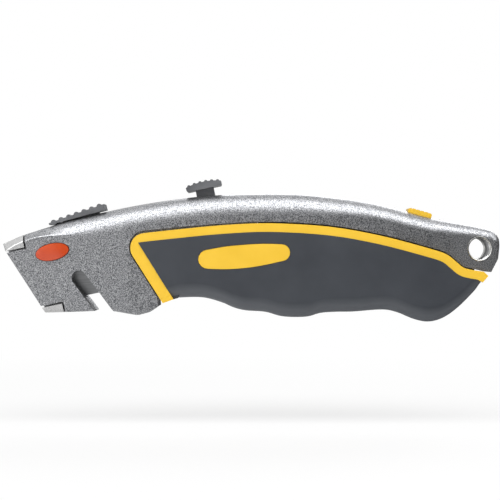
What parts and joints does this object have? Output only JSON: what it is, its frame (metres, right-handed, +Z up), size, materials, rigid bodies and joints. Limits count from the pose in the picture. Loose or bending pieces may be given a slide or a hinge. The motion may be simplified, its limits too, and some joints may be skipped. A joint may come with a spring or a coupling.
{
  "type": "utility knife",
  "caption": "Retractable utility knife with a silver cast body, a dark rubber grip with yellow trim, a thumb slider, an orange button and a cord notch in the nose.",
  "frame": {"origin": "under the middle of the closed knife, at the level of the lowest point of its grip, with the thumb slider back and the blade inside", "axes": "+X towards the tail, -X towards the nose, Y across the knife, +Z up to the spine, as the knife is held for a cut"},
  "size_m": [0.1732, 0.02, 0.0496],
  "materials": {
    "shell_paint": "speckled silver-grey hammered paint, satin",
    "bright_steel": "bright",
    "dark_steel": "black oxide",
    "cast_zinc": "as cast",
    "blade_steel": "ground",
    "dark_plastic": "matte, ridged",
    "tray_plastic": "matte",
    "grip_rubber": "smooth matte rubber",
    "yellow_rubber": "satin",
    "yellow_plastic": "satin gloss",
    "orange_plastic": "glossy"
  },
  "bodies": {
    "frame": {"left_shell": "shell_paint", "right_shell": "shell_paint", "lanyard_bush": "bright_steel", "shell_screws": "dark_steel", "hinge_pin": "bright_steel", "detent_rack": "bright_steel", "button_spring": "bright_steel", "catch_spring": "bright_steel"},
    "carriage": {"carrier": "cast_zinc", "thumb_stem": "dark_plastic", "thumb_cap": "dark_plastic", "blade": "blade_steel", "detent_spring": "bright_steel"},
    "nose_lock": {"nose_slide": "dark_plastic", "nose_slide_clip": "bright_steel"},
    "button": {"release_button": "orange_plastic"},
    "catch": {"catch_button": "yellow_plastic", "catch_hook": "bright_steel"},
    "magazine": {"magazine_tray": "tray_plastic", "striker": "bright_steel", "left_grip": "grip_rubber", "right_grip": "grip_rubber", "left_trim": "yellow_rubber", "right_trim": "yellow_rubber", "left_badge": "yellow_plastic", "right_badge": "yellow_plastic", "spare_blades": "blade_steel", "blade_clip": "bright_steel"}
  },
  "joints": [
    {"name": "blade_slide", "type": "slide", "parent": "frame", "child": "carriage", "axis": [-0.9781, 0, -0.2079], "range_m": [0, 0.027], "deforming": ["detent_spring"]},
    {"name": "nose_slide_travel", "type": "slide", "parent": "frame", "child": "nose_lock", "axis": [-0.9659, 0, -0.2588], "range_m": [0, 0.005]},
    {"name": "button_press", "type": "slide", "parent": "frame", "child": "button", "axis": [0, 1, 0], "range_m": [0, 0.0012], "stiffness_N_per_m": 800, "deforming": ["button_spring"]},
    {"name": "catch_travel", "type": "slide", "parent": "frame", "child": "catch", "axis": [0.9636, 0, -0.2672], "range_m": [0, 0.003], "stiffness_N_per_m": 500, "deforming": ["catch_spring"]},
    {"name": "magazine_swing", "type": "hinge", "parent": "frame", "child": "magazine", "pos_m": [-0.03, 0, 0.0099], "axis": [0, 1, 0], "range_deg": [0, 24], "deforming": ["catch_hook"]}
  ]
}
